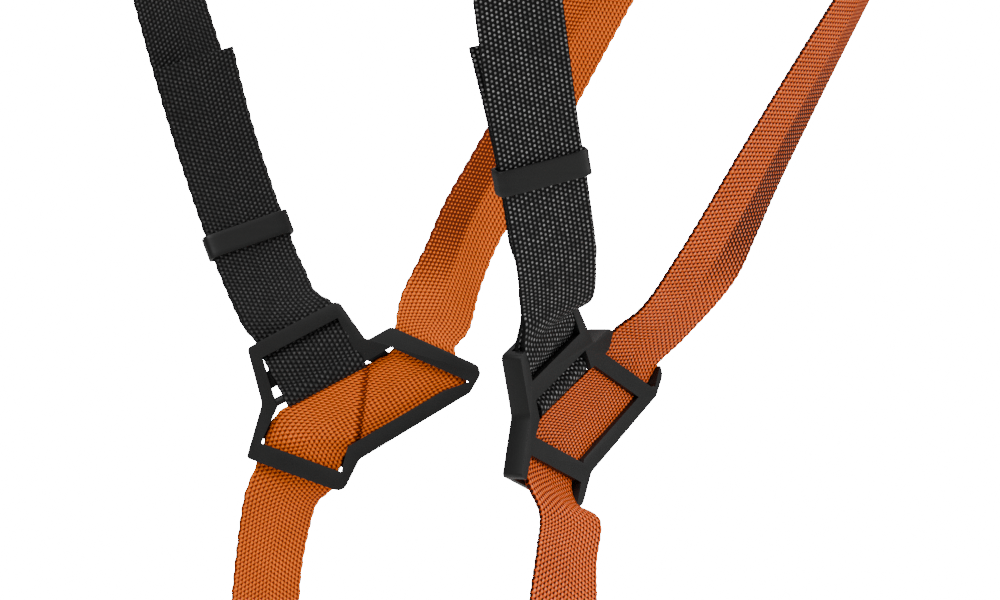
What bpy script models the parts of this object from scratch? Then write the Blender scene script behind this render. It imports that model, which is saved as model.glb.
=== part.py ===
"""Retention straps of a bicycle helmet, buckle open, as they hang below the shell.

Metres, +Z up, +X towards the wearer's back, -Y the wearer's left, +Y the wearer's right. The origin is
midway between the two strap dividers. On each side a front strap and a rear strap come down from the
shell and meet in a moulded divider; the rear strap runs on through it as the chin strap.
"""
import math

import bpy
import bmesh
from mathutils import Matrix, Vector

MM = 0.001

# webbing and clearances
WEB_W = 15.0 * MM            # width of all webbing
WEB_T = 1.0 * MM             # thickness
GAP = 0.3 * MM               # between faces that touch
SIDE_GAP = 0.4 * MM          # between a webbing edge and the end of its slot
LAYER = WEB_T + GAP          # centre to centre of two layers lying together
SLOT = WEB_W + 2 * SIDE_GAP

# divider: three arms, each (middle of its outer edge, slope of its bar), and the corners between them
DIV_HALF = 2.0 * MM          # half its depth
BAR_T = 1.15 * MM            # thickness of the bars at the back and of the crossbars at the front
WALL = 1.6 * MM              # wall at the ends of the slots
ARMS = {
    "front": ((-13.45, 13.65), 27.8),
    "rear": ((13.45, 9.35), -23.9),
    "chin": ((-13.05, -14.35), -19.9),
}
BAR_W = {"front": 2.9 * MM, "rear": 3.5 * MM, "chin": 3.5 * MM}
CROSS = {"front": (5.5 * MM, 8.8 * MM), "rear": (4.5 * MM, 7.6 * MM), "chin": (4.3 * MM, 7.6 * MM)}
CROSS_ENDS = {"front": (-10.4, 9.2), "rear": (-11.0, 10.0), "chin": (-9.4, 9.4)}   # front end, back end
NOTCHES = {"top": (0.2, 10.6), "tip": (19.4, 0.9), "low": (-1.0, -11.4), "front": (-19.1, -1.1)}
WINDOW = {"top": (-0.6, 6.3), "tip": (14.6, 1.35), "low": (-3.25, -9.05), "front": (-16.3, -1.8)}
# the webbing's front and rear edges across the window
WINDOW_WEB = (((1.9, 5.5), (14.0, 1.5)), ((-7.5, 1.1), (5.3, -3.6)), ((-16.4, -3.7), (-3.6, -8.7)))
RUNG_R = 0.8 * MM            # rung that the front strap turns round
RUNG_U = 11.4 * MM           # its distance from the arm's outer edge
RUNG_N = -0.6 * MM           # its height from the middle of the depth
DIV_Y = 42.5 * MM            # each divider's distance from the middle plane
DIV_YAW = 27.0               # degrees that a divider's face turns to the back
DIV_ROLL = {-1: 1.5, 1: 0.0}

# rubber keepers
KEEP_H = 4.5 * MM
KEEP_WALL = 0.6 * MM
KEEPER_Z = {-1: 39.5 * MM, 1: 30.0 * MM}
CHIN_KEEPER_Z = -58.0 * MM
TAIL_TOP = {-1: 61.0 * MM, 1: 62.5 * MM}   # height of the front strap's free end
TAIL_PEEL = {-1: 3.4 * MM, 1: 4.8 * MM}    # how far that end stands off its strap
TAIL_SWAY = {-1: -1.2 * MM, 1: -1.2 * MM}   # how far it has swung towards the back

# webbing bars of the anchors and of the buckle halves
BAR_R = 1.2 * MM
LOOP_R = BAR_R + GAP + WEB_T / 2
ANCHOR_T = 4.0 * MM
ANCHOR_H = 18.0 * MM
ANCHOR_SIDE = 3.2 * MM
BACKFOLD = 15.0 * MM         # sewn-back end of a strap
ANCHOR_Z = 98.0              # height of the anchors' webbing bars, mm
BUCKLE_Z = -84.0             # height of the buckle's webbing bars, mm

# buckle
BUCKLE_SIDE = 2.4 * MM
PLUG_LEN = 15.0 * MM
LATCH_W = 2.4 * MM
SOCKET_LEN = 17.0 * MM
SOCKET_T = 7.6 * MM
SOCKET_WALL = 1.3 * MM

# strap routes beyond the divider: (x, distance from the middle plane, z, yaw of the outer face)
ROUTES = {
    (-1, "front"): [(-10.8, 52.2, 16, 20), (-13.4, 57.4, 24, 4), (-16.8, 60.8, 34, -4),
                    (-21.0, 63.6, 48, -11),
                    (-25.1, 66.5, 64, -16), (-29.2, 69.5, 82, -18), (-32.6, 72.0, ANCHOR_Z, -18)],
    (1, "front"): [(-12.9, 52.4, 16, 25), (-14.6, 57.4, 24, 22), (-17.3, 60.4, 34, 18),
                   (-21.3, 63.5, 48, 9),
                   (-25.6, 66.5, 64, 0), (-30.0, 69.5, 82, -6), (-33.6, 72.0, ANCHOR_Z, -6)],
    (-1, "rear"): [(16.8, 39.9, 14, 13), (22.8, 45.2, 24, 9), (26.6, 47.3, 32, 18), (30.7, 48.4, 40, 25),
                   (40.4, 48.9, 56, 33), (50.6, 49.1, 72, 40), (57.0, 49.1, 82, 42), (67.2, 49.1,
                                                                                      ANCHOR_Z, 42)],
    (1, "rear"): [(13.6, 41.2, 15, -8), (19.7, 45.4, 24, -16), (24.4, 47.3, 32, -13), (30.0, 48.4, 40, -10),
                  (40.5, 48.9, 56, -9), (50.3, 49.1, 72, -8), (56.5, 49.1, 82, -8), (66.6, 49.1,
                                                                                     ANCHOR_Z, -8)],
    (-1, "chin"): [(-8.9, 52.0, -18.5, 22), (-10.2, 54.8, -25, 22), (-11.4, 56.0, -33, 13),
                   (-12.4, 56.4, -44, 7),
                   (-12.8, 56.5, -58, 0), (-12.8, 56.5, BUCKLE_Z, 0)],
    (1, "chin"): [(-12.6, 52.0, -18.5, 4), (-12.9, 54.8, -25, -5), (-13.6, 56.0, -33, -9),
                  (-14.2, 56.4, -44, -5),
                  (-14.4, 56.5, -58, 0), (-14.4, 56.5, BUCKLE_Z, 0)],
}


def reset():
    for ob in list(bpy.data.objects):
        bpy.data.objects.remove(ob, do_unlink=True)
    for name in ("helmet_straps", "cutters"):
        coll = bpy.data.collections.get(name) or bpy.data.collections.new(name)
        if coll.name not in bpy.context.scene.collection.children:
            bpy.context.scene.collection.children.link(coll)


def material(name, colour, roughness, metallic=0.0):
    mat = bpy.data.materials.new(name)
    mat.use_nodes = True
    shader = mat.node_tree.nodes["Principled BSDF"]
    shader.inputs["Base Color"].default_value = (*colour, 1.0)
    shader.inputs["Roughness"].default_value = roughness
    shader.inputs["Metallic"].default_value = metallic
    return mat


def add_object(name, mesh, mat=None, matrix=None, cutter=False):
    ob = bpy.data.objects.new(name, mesh)
    bpy.data.collections["cutters" if cutter else "helmet_straps"].objects.link(ob)
    if matrix is not None:
        ob.matrix_world = matrix
    if mat is not None:
        mesh.materials.append(mat)
    if cutter:
        ob.hide_render = True
        ob.display_type = "WIRE"
    return ob


# ---------- frames ----------

def divider_frame(side):
    """Matrix of a divider: x along its face (towards the back on the left side), y up, z outwards."""
    yaw, roll = math.radians(DIV_YAW), math.radians(DIV_ROLL[side])
    out = Vector((math.sin(yaw), side * math.cos(yaw), 0))
    up = Vector((0, 0, 1))
    along = up.cross(out)
    frame = Matrix((along, up, out)).transposed().to_4x4()
    frame = Matrix.Translation((0, side * DIV_Y, 0)) @ frame
    return frame @ Matrix.Rotation(roll, 4, "Z")


def local(side, point, height=0.0):
    """A divider point (towards the back, up), in mm, in the divider's own frame."""
    return Vector((-side * point[0] * MM, point[1] * MM, height))


def arm_frame(side, arm):
    """Matrix of an arm in the divider's frame: x along its bar, y inwards from its outer edge, z out."""
    middle, slope = ARMS[arm]
    angle = math.radians(slope) * -side
    along = Vector((math.cos(angle), math.sin(angle), 0))
    outwards = Vector((0, 0, 1))
    inwards = outwards.cross(along)
    centre = local(side, middle)
    if inwards.dot(centre) > 0:
        along, inwards = -along, -inwards
    frame = Matrix((along, inwards, outwards)).transposed().to_4x4()
    return Matrix.Translation(centre) @ frame


def backwards(side, arm):
    """+1 where an arm's x runs towards the back of the head, -1 where it runs forwards."""
    along = (divider_frame(side) @ arm_frame(side, arm)).to_3x3() @ Vector((1, 0, 0))
    return 1 if along.x > 0 else -1


# ---------- shapes ----------

def rounded(points, radius, steps=3):
    """The outline with an arc of the radius at each corner (0 leaves it sharp)."""
    out = []
    count = len(points)
    for i, (corner, r) in enumerate(zip(points, radius)):
        before = (points[i - 1] - corner).normalized()
        after = (points[(i + 1) % count] - corner).normalized()
        half = before.angle(after) / 2
        if r <= 0:
            out.append(corner.copy())
            continue
        reach = r / math.tan(half)
        centre = corner + (before + after).normalized() * (r / math.sin(half))
        start, end = corner + before * reach - centre, corner + after * reach - centre
        for k in range(steps + 1):
            out.append(centre + start.lerp(end, k / steps).normalized() * r)
    return out


def outline_mesh(name, outlines, depth):
    """A flat outline (with holes), extruded by the depth about z = 0, as a closed mesh.

    The curve is filled in millimetres, where its fill is accurate, and brought to metres afterwards.
    """
    curve = bpy.data.curves.new(name, "CURVE")
    curve.dimensions = "2D"
    curve.fill_mode = "BOTH"
    curve.extrude = depth / 2 / MM
    for points in outlines:
        spline = curve.splines.new("POLY")
        spline.points.add(len(points) - 1)
        for target, point in zip(spline.points, points):
            target.co = (point.x / MM, point.y / MM, 0.0, 1.0)
        spline.use_cyclic_u = True
    ob = bpy.data.objects.new(name, curve)
    bpy.data.collections["cutters"].objects.link(ob)
    bpy.context.view_layer.update()
    mesh = bpy.data.meshes.new_from_object(ob.evaluated_get(bpy.context.evaluated_depsgraph_get()))
    bpy.data.objects.remove(ob, do_unlink=True)
    bm = bmesh.new()
    bm.from_mesh(mesh)
    bmesh.ops.remove_doubles(bm, verts=bm.verts, dist=1e-4)
    bmesh.ops.recalc_face_normals(bm, faces=bm.faces)
    bmesh.ops.scale(bm, vec=(MM, MM, MM), verts=bm.verts)
    bm.to_mesh(mesh)
    bm.free()
    return mesh


def box_mesh(name, low, high, bevel=0.0):
    """A box between two corners, its long edges rounded when a bevel is given."""
    low, high = Vector(low), Vector(high)
    bm = bmesh.new()
    bmesh.ops.create_cube(bm, size=1.0)
    bmesh.ops.scale(bm, vec=high - low, verts=bm.verts)
    bmesh.ops.translate(bm, vec=(high + low) / 2, verts=bm.verts)
    if bevel:
        bmesh.ops.bevel(bm, geom=bm.edges[:], offset=bevel, segments=1, profile=0.5, affect="EDGES")
    mesh = bpy.data.meshes.new(name)
    bm.to_mesh(mesh)
    bm.free()
    return mesh


def rod_mesh(name, radius, length, centre=(0, 0, 0), sides=20):
    """A rod along x."""
    bm = bmesh.new()
    bmesh.ops.create_cone(bm, cap_ends=True, segments=sides, radius1=radius, radius2=radius, depth=length)
    bmesh.ops.rotate(bm, cent=(0, 0, 0), matrix=Matrix.Rotation(math.pi / 2, 3, "Y"), verts=bm.verts)
    bmesh.ops.translate(bm, vec=centre, verts=bm.verts)
    mesh = bpy.data.meshes.new(name)
    bm.to_mesh(mesh)
    bm.free()
    return mesh


def boolean(ob, cutter, operation="DIFFERENCE"):
    mod = ob.modifiers.new(cutter.name, "BOOLEAN")
    mod.operation = operation
    mod.object = cutter
    mod.solver = "EXACT"
    return mod


# ---------- webbing ----------

def smooth_path(stations, spacing=2.4 * MM):
    """Stations (centre, width direction) joined by a centripetal Catmull-Rom curve."""
    pts = [s[0] for s in stations]
    pts = [2 * pts[0] - pts[1]] + pts + [2 * pts[-1] - pts[-2]]
    out = []
    for i in range(1, len(pts) - 2):
        p0, p1, p2, p3 = pts[i - 1:i + 3]
        t0 = 0.0
        t1 = t0 + math.sqrt((p1 - p0).length)
        t2 = t1 + math.sqrt((p2 - p1).length)
        t3 = t2 + math.sqrt((p3 - p2).length)
        steps = max(1, round((p2 - p1).length / spacing))
        for k in range(steps):
            t = t1 + (t2 - t1) * k / steps
            a1 = (t1 - t) / (t1 - t0) * p0 + (t - t0) / (t1 - t0) * p1
            a2 = (t2 - t) / (t2 - t1) * p1 + (t - t1) / (t2 - t1) * p2
            a3 = (t3 - t) / (t3 - t2) * p2 + (t - t2) / (t3 - t2) * p3
            b1 = (t2 - t) / (t2 - t0) * a1 + (t - t0) / (t2 - t0) * a2
            b2 = (t3 - t) / (t3 - t1) * a2 + (t - t1) / (t3 - t1) * a3
            centre = (t2 - t) / (t2 - t1) * b1 + (t - t1) / (t2 - t1) * b2
            width = stations[i - 1][1].lerp(stations[i][1], k / steps)
            out.append((centre, width))
    out.append(stations[-1])
    return out


def strap(name, stations, mat):
    """A closed strap along the stations; each width direction is as long as half the strap's width."""
    count = len(stations)
    bm = bmesh.new()
    bmesh.ops.create_grid(bm, x_segments=count - 1, y_segments=1, size=0.5)
    for vert in bm.verts:
        centre, width = stations[round((vert.co.x + 0.5) * (count - 1))]
        vert.co = centre + (width if vert.co.y > 0 else -width)
    mesh = bpy.data.meshes.new(name)
    bm.to_mesh(mesh)
    bm.free()
    ob = add_object(name, mesh, mat)
    solid = ob.modifiers.new("thickness", "SOLIDIFY")
    solid.thickness = WEB_T
    solid.offset = 0.0
    solid.use_even_offset = False
    return ob


def route_frames(side, arm):
    """(centre, width, outward normal, direction) at each point of a strap's route beyond the divider."""
    points = [(Vector((x, side * y, z)) * MM, yaw) for x, y, z, yaw in ROUTES[(side, arm)]]
    start = arm_point(side, arm, 0.0, 0.0)
    frames = []
    for i, (centre, yaw) in enumerate(points):
        before = points[i - 1][0] if i else start
        after = points[i + 1][0] if i + 1 < len(points) else None
        along = ((after if after is not None else centre) - (before if after is not None or not i else
                                                              points[i - 1][0])).normalized()
        flat = Vector((math.cos(math.radians(yaw)), -side * math.sin(math.radians(yaw)), 0))
        width = (flat - flat.dot(along) * along).normalized()
        out = along.cross(width).normalized()
        if out.y * side < 0:
            out = -out
        frames.append((centre, width, out, along))
    return frames


def arm_point(side, arm, inwards, height, along=0.0):
    frame = divider_frame(side) @ arm_frame(side, arm)
    return frame @ Vector((along, inwards, height))


def arm_width(side, arm):
    frame = divider_frame(side) @ arm_frame(side, arm)
    return (frame.to_3x3() @ Vector((backwards(side, arm), 0, 0))).normalized()


def at_height(frames, z):
    """The route's frame at a height, between its points."""
    order = sorted(frames, key=lambda frame: frame[0].z)
    low, high = order[0], order[1]
    for low, high in zip(order, order[1:]):
        if z <= high[0].z:
            break
    t = max(0.0, (z - low[0].z) / (high[0].z - low[0].z))
    return (low[0].lerp(high[0], t), low[1].lerp(high[1], t).normalized(),
            low[2].lerp(high[2], t).normalized(),
            (high[0] - low[0]).normalized())


def bar_loop(frame, side_sign, bar_depth, end):
    """Stations round a webbing bar and back along the strap, up to `end` from the bar.

    The strap arrives along the frame's direction on its outer side (side_sign +1) and folds to its inner
    side. bar_depth is the height of the bar's centre under the strap.
    """
    centre, width, out, along = frame
    out = out * side_sign
    half = width * WEB_W / 2

    def at(forward, height):
        return (centre + along * forward + out * height, half)

    stations = [at(-7.0 * MM, 0.0), at(-3.0 * MM, (LOOP_R - bar_depth) * 0.7)]
    for step in range(9):
        angle = math.pi / 2 - math.pi * step / 8
        stations.append(at(LOOP_R * math.cos(angle), LOOP_R * math.sin(angle) - bar_depth))
    stations.append(at(-3.0 * MM, -bar_depth - LOOP_R * 0.8))
    stations.append(at(-7.0 * MM, -LAYER))
    stations.append(at(-end, -LAYER))
    return stations


# ---------- pieces ----------

def make_divider(side, name, mat):
    frame = divider_frame(side)
    slot, wall = SLOT / 2, SLOT / 2 + WALL

    def corner(arm, end, inwards, reach):
        point = arm_frame(side, arm) @ Vector((reach, inwards, 0))
        other = arm_frame(side, arm) @ Vector((-reach, inwards, 0))
        back = (point.x - other.x) * -side > 0
        return (point if back == (end > 0) else other).to_3d()

    def flat(vector):
        return Vector((vector.x, vector.y))

    def notch(table, key):
        return flat(local(side, table[key]))

    outer = [flat(corner("front", -1, 0, wall)), flat(corner("front", 1, 0, wall)), notch(NOTCHES, "top"),
             flat(corner("rear", -1, 0, wall)), flat(corner("rear", 1, 0, wall)), notch(NOTCHES, "tip"),
             notch(NOTCHES, "low"), flat(corner("chin", 1, 0, wall)), flat(corner("chin", -1, 0, wall)),
             notch(NOTCHES, "front")]
    inner = [flat(corner("front", -1, BAR_W["front"], slot)),
             flat(corner("front", 1, BAR_W["front"], slot)),
             notch(WINDOW, "top"), flat(corner("rear", -1, BAR_W["rear"], slot)),
             flat(corner("rear", 1, BAR_W["rear"], slot)), notch(WINDOW, "tip"), notch(WINDOW, "low"),
             flat(corner("chin", 1, BAR_W["chin"], slot)), flat(corner("chin", -1, BAR_W["chin"], slot)),
             notch(WINDOW, "front")]
    radii = [0.9 * MM, 1.2 * MM, 0.8 * MM, 1.6 * MM, 1.8 * MM, 1.6 * MM, 1.5 * MM, 1.7 * MM, 0.6 * MM,
             2.5 * MM]
    body = add_object(name, outline_mesh(name, [rounded(outer, radii)], 2 * DIV_HALF), mat, frame)

    window = add_object(name + "_window", outline_mesh(name + "_window", [inner], 4 * DIV_HALF), None,
                        frame, True)
    for arm, (near, far) in CROSS.items():
        back = backwards(side, arm)
        ends = sorted(back * end * MM for end in CROSS_ENDS[arm])
        keep = box_mesh(name + "_cross_" + arm, (ends[0], near, DIV_HALF - BAR_T),
                        (ends[1], far, 5 * DIV_HALF))
        limit = add_object(name + "_cross_" + arm, keep, None, frame @ arm_frame(side, arm), True)
        boolean(window, limit)
    boolean(body, window)
    for arm in ARMS:
        inside = slot - 0.05 * MM
        low = (-inside, -5 * MM, BAR_T - DIV_HALF)
        high = (inside, BAR_W[arm] + 0.6 * MM, 3 * DIV_HALF)
        recess = add_object(name + "_recess_" + arm, box_mesh(name + "_recess_" + arm, low, high), None,
                            frame @ arm_frame(side, arm), True)
        boolean(body, recess)
    rung_frame = frame @ arm_frame(side, "front")
    rung = rod_mesh(name + "_rung", RUNG_R, SLOT + 3.4 * MM, (0, RUNG_U, RUNG_N), 16)
    boolean(body, add_object(name + "_rung", rung, None, rung_frame, True), "UNION")
    return body


def front_stations(side):
    """The front strap: sewn end, anchor bar, down to the divider, round the rung and up to its free end."""
    frames = route_frames(side, "front")
    half = WEB_W / 2
    stations = list(reversed(bar_loop(frames[-1], 1, 1.1 * MM, BACKFOLD)))
    for centre, width, out, along in reversed(frames[:-1]):
        stations.append((centre, width * half))
    width = arm_width(side, "front") * half
    high = 1.45 * MM
    main = [(0.0, high + 0.35 * MM), (BAR_W["front"], high), (CROSS["front"][0], 0.05 * MM),
            (CROSS["front"][1], 0.05 * MM)]
    back = [(CROSS["front"][1], -1.45 * MM), (CROSS["front"][0], -1.45 * MM), (BAR_W["front"], -0.05 * MM),
            (0.0, 0.3 * MM)]
    turn = RUNG_R + GAP + WEB_T / 2
    arc = []
    for step in range(11):
        angle = math.radians(140 - 28 * step)
        arc.append((RUNG_U + turn * math.cos(angle), RUNG_N + turn * math.sin(angle)))
    for inwards, height in main + arc + back:
        stations.append((arm_point(side, "front", inwards, height), width))
    band = at_height(frames, KEEPER_Z[side])[1]
    for z in (16.0 * MM, 20.0 * MM, 24.0 * MM, 29.0 * MM, 34.0 * MM, 39.0 * MM, 44.0 * MM, 50.0 * MM,
              TAIL_TOP[side] - 4 * MM, TAIL_TOP[side]):
        centre, wide, out, along = at_height(frames, z)
        rise = z - (KEEPER_Z[side] + KEEP_H)
        reach = TAIL_TOP[side] - KEEPER_Z[side] - KEEP_H
        part = (rise / reach) ** 1.3 if rise > 0 else 0.0
        if rise > 0:
            wide = (band - band.dot(along) * along).normalized()
        near = 0.2 * MM if z < 22 * MM else 0.0
        back = centre - out * (LAYER + near + TAIL_PEEL[side] * part)
        stations.append((back + wide * TAIL_SWAY[side] * part, wide * half))
    return stations


def rear_stations(side):
    """The rear strap: sewn end, anchor bar, down through the divider, chin strap, buckle bar and end."""
    frames = route_frames(side, "rear")
    half = WEB_W / 2
    stations = list(reversed(bar_loop(frames[-1], 1, 1.1 * MM, BACKFOLD)))
    for centre, width, out, along in reversed(frames[:-1]):
        stations.append((centre, width * half))
    rear, chin = arm_width(side, "rear") * half, arm_width(side, "chin") * half
    # above the divider the right strap is drawn together towards the front end of its slot
    drawn, narrow = (-1.7 * MM, 0.8) if side > 0 else (0.3 * MM, 1.0)
    stations.append((arm_point(side, "rear", -0.5 * MM, 1.2 * MM, backwards(side, "rear") * drawn),
                     rear * narrow))
    stations.append((arm_point(side, "rear", BAR_W["rear"], 0.05 * MM), rear))
    frame = divider_frame(side)
    for left, right in WINDOW_WEB:
        ends = [frame @ local(side, left, 0.0), frame @ local(side, right, 0.0)]
        stations.append(((ends[0] + ends[1]) / 2, (ends[1] - ends[0]) / 2))
    stations.append((arm_point(side, "chin", BAR_W["chin"], 0.05 * MM), chin))
    stations.append((arm_point(side, "chin", 0.0, 1.5 * MM), chin))
    frames = route_frames(side, "chin")
    for centre, width, out, along in frames[:-1]:
        stations.append((centre, width * half))
    stations += bar_loop(frames[-1], 1, LAYER / 2, 34.0 * MM if side < 0 else BACKFOLD)
    return stations


def piece_frame(frame, depth):
    """Matrix of a piece on a strap: x along the width, y outwards, z along the strap, upwards."""
    centre, width, out, along = frame
    up = along if along.z > 0 else -along
    width = (width - width.dot(up) * up).normalized()
    out = up.cross(width)
    sign = 1 if (out.y * centre.y) > 0 else -1
    matrix = Matrix((width, out, up)).transposed().to_4x4()
    return Matrix.Translation(centre - out * sign * depth) @ matrix, sign


def make_keeper(name, frame, mat):
    """A rubber band round two layers of webbing."""
    matrix, sign = piece_frame(frame, LAYER / 2)
    wide, deep = WEB_W / 2 + GAP, LAYER / 2 + WEB_T / 2 + SIDE_GAP
    outer = box_mesh(name, (-wide - KEEP_WALL, -deep - KEEP_WALL, -KEEP_H / 2),
                     (wide + KEEP_WALL, deep + KEEP_WALL, KEEP_H / 2), 0.3 * MM)
    band = add_object(name, outer, mat, matrix)
    hole = box_mesh(name + "_hole", (-wide, -deep, -KEEP_H), (wide, deep, KEEP_H))
    boolean(band, add_object(name + "_hole", hole, None, matrix, True))
    return band


def make_tack(name, frame, offset, mat):
    """The bar of stitches across a sewn-back end."""
    matrix, sign = piece_frame(frame, 0.0)
    low = WEB_T / 2 + 0.1 * MM
    ys = sorted((sign * low, sign * (low + 0.6 * MM)))
    mesh = box_mesh(name, (-6.0 * MM, ys[0], offset - 1.0 * MM), (6.0 * MM, ys[1], offset + 1.0 * MM),
                    0.15 * MM)
    return add_object(name, mesh, mat, matrix)


def make_anchor(name, frame, mat):
    """A moulded anchor: a plate that seats flat on the shell, and two legs with the webbing bar between."""
    matrix, sign = piece_frame(frame, 1.1 * MM)
    wide = SLOT / 2 + ANCHOR_SIDE
    top, low = ANCHOR_H - 3.0 * MM, -3.0 * MM
    face = sign * 2.7 * MM
    back = face - sign * ANCHOR_T
    ys = sorted((face, back))
    body = add_object(name, box_mesh(name, (-wide, ys[0], low), (wide, ys[1], top), 0.8 * MM), mat, matrix)
    room = LOOP_R + WEB_T / 2 + SIDE_GAP
    gap = box_mesh(name + "_gap", (-SLOT / 2, -5 * ANCHOR_T, 2 * low), (SLOT / 2, 5 * ANCHOR_T, room))
    boolean(body, add_object(name + "_gap", gap, None, matrix, True))
    rod = rod_mesh(name + "_bar", BAR_R, SLOT + 2 * MM)
    boolean(body, add_object(name + "_bar", rod, None, matrix, True), "UNION")
    return body


def buckle_head(name, matrix, mat, base, thick):
    """The webbing end of a buckle half: two cheeks, the bar between them, and the shoulder below."""
    wide = SLOT / 2 + BUCKLE_SIDE
    room = LOOP_R + WEB_T / 2 + SIDE_GAP
    body = add_object(name, box_mesh(name, (-wide, -thick / 2, -base), (wide, thick / 2, 3.0 * MM),
                                     0.7 * MM),
                      mat, matrix)
    gap = box_mesh(name + "_gap", (-SLOT / 2, -4 * thick, -room), (SLOT / 2, 4 * thick, 9 * MM))
    boolean(body, add_object(name + "_gap", gap, None, matrix, True))
    rod = rod_mesh(name + "_bar", BAR_R, SLOT + 2 * MM)
    boolean(body, add_object(name + "_bar", rod, None, matrix, True), "UNION")
    return body, room


def make_plug(frame, mat):
    """Plug half: head, middle guide and two latch arms that bend inwards."""
    matrix, sign = piece_frame(frame, LAYER / 2)
    body, room = buckle_head("buckle_plug", matrix, mat, 8.5 * MM, 5.0 * MM)
    guide = box_mesh("buckle_plug_guide", (-1.6 * MM, -1.5 * MM, -8.5 * MM - PLUG_LEN),
                     (1.6 * MM, 1.5 * MM, -7.0 * MM), 0.5 * MM)
    boolean(body, add_object("buckle_plug_guide", guide, None, matrix, True), "UNION")
    for name, end in (("plug_latch_front", -1), ("plug_latch_rear", 1)):
        # the arm hangs from the shoulder, with its origin on the bend at its root
        root = matrix @ Matrix.Translation((end * 6.2 * MM, 0, -8.5 * MM - GAP))
        arm = [Vector((-end * LATCH_W / 2, 0)), Vector((end * LATCH_W / 2, 0)),
               Vector((end * LATCH_W / 2, -6.0 * MM)), Vector((end * (LATCH_W / 2 + 1.6 * MM), -8.0 * MM)),
               Vector((end * (LATCH_W / 2 + 1.6 * MM), -10.0 * MM)), Vector((end * 0.2 * MM,
                                                                             -PLUG_LEN + 1 * MM)),
               Vector((-end * LATCH_W / 2, -PLUG_LEN + 1 * MM))]
        flat = outline_mesh(name, [arm], 3.2 * MM)
        turn = Matrix.Rotation(math.pi / 2, 4, "X")
        add_object(name, flat, mat, root @ turn)
    return body


def make_socket(frame, mat):
    """Socket half: head and a sleeve, open at its mouth and at both sides for the latch heads."""
    matrix, sign = piece_frame(frame, LAYER / 2)
    body, room = buckle_head("buckle_socket", matrix, mat, 7.5 * MM, SOCKET_T)
    wide = SLOT / 2 + BUCKLE_SIDE
    sleeve = box_mesh("buckle_socket_sleeve", (-wide, -SOCKET_T / 2, -7.0 * MM - SOCKET_LEN),
                      (wide, SOCKET_T / 2, -6.0 * MM), 0.7 * MM)
    boolean(body, add_object("buckle_socket_sleeve", sleeve, None, matrix, True), "UNION")
    cavity = box_mesh("buckle_socket_cavity",
                      (-wide + 1.4 * MM, -SOCKET_T / 2 + SOCKET_WALL, -SOCKET_LEN * 2),
                      (wide - 1.4 * MM, SOCKET_T / 2 - SOCKET_WALL, -9.0 * MM))
    boolean(body, add_object("buckle_socket_cavity", cavity, None, matrix, True))
    ports = box_mesh("buckle_socket_ports", (-2 * wide, -SOCKET_T / 2 + SOCKET_WALL, -17.0 * MM),
                     (2 * wide, SOCKET_T / 2 - SOCKET_WALL, -11.0 * MM))
    boolean(body, add_object("buckle_socket_ports", ports, None, matrix, True))
    return body


def main():
    reset()
    black = material("black_webbing", (0.018, 0.018, 0.018), 0.85)
    orange = material("orange_webbing", (0.80, 0.20, 0.03), 0.85)
    nylon = material("black_moulding", (0.014, 0.014, 0.015), 0.5)
    rubber = material("black_rubber", (0.012, 0.012, 0.012), 0.6)
    thread = material("black_thread", (0.02, 0.02, 0.02), 0.8)
    amber = material("orange_thread", (0.70, 0.17, 0.03), 0.8)
    for side, label in ((-1, "left"), (1, "right")):
        make_divider(side, label + "_divider", nylon)
        strap(label + "_front_strap", smooth_path(front_stations(side)), black)
        strap(label + "_rear_strap", smooth_path(rear_stations(side)), orange)
        front, rear = route_frames(side, "front"), route_frames(side, "rear")
        chin = route_frames(side, "chin")
        make_keeper(label + "_keeper", at_height(front, KEEPER_Z[side]), rubber)
        make_anchor(label + "_front_anchor", front[-1], nylon)
        make_anchor(label + "_rear_anchor", rear[-1], nylon)
        make_tack(label + "_front_tack", front[-1], -10.5 * MM, thread)
        make_tack(label + "_rear_tack", rear[-1], -10.5 * MM, amber)
        if side < 0:
            make_keeper("left_chin_keeper", at_height(chin, CHIN_KEEPER_Z), rubber)
            make_plug(chin[-1], nylon)
        else:
            make_tack("right_chin_tack", chin[-1], 10.5 * MM, amber)
            make_socket(chin[-1], nylon)


main()
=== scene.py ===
"""Retention straps of a bicycle helmet, buckle open, hanging as they do below the shell's rim."""
import math

import bpy
import bmesh
from mathutils import Matrix, Vector


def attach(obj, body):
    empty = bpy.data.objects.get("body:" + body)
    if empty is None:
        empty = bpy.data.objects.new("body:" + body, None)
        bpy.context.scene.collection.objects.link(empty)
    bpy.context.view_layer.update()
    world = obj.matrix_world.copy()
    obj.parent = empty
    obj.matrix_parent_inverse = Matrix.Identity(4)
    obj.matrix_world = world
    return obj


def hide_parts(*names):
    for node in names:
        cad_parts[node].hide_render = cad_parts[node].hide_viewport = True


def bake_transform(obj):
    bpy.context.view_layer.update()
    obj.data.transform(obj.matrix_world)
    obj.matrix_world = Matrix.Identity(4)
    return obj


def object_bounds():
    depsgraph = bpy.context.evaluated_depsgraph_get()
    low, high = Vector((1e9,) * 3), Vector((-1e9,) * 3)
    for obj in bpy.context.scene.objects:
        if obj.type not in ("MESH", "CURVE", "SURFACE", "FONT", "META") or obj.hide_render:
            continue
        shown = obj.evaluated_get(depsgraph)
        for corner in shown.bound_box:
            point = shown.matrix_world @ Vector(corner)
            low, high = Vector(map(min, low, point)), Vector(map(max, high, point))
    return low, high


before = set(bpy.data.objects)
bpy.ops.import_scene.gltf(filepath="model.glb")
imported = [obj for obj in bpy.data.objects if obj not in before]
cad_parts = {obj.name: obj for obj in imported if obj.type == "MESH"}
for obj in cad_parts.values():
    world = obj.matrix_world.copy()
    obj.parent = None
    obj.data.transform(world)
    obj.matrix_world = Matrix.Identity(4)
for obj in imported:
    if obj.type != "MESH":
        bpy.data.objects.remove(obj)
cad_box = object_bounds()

MM = 0.001

# ---------- camera ----------
# Level with the straps, a metre off, from the wearer's left and a little in front.

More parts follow.
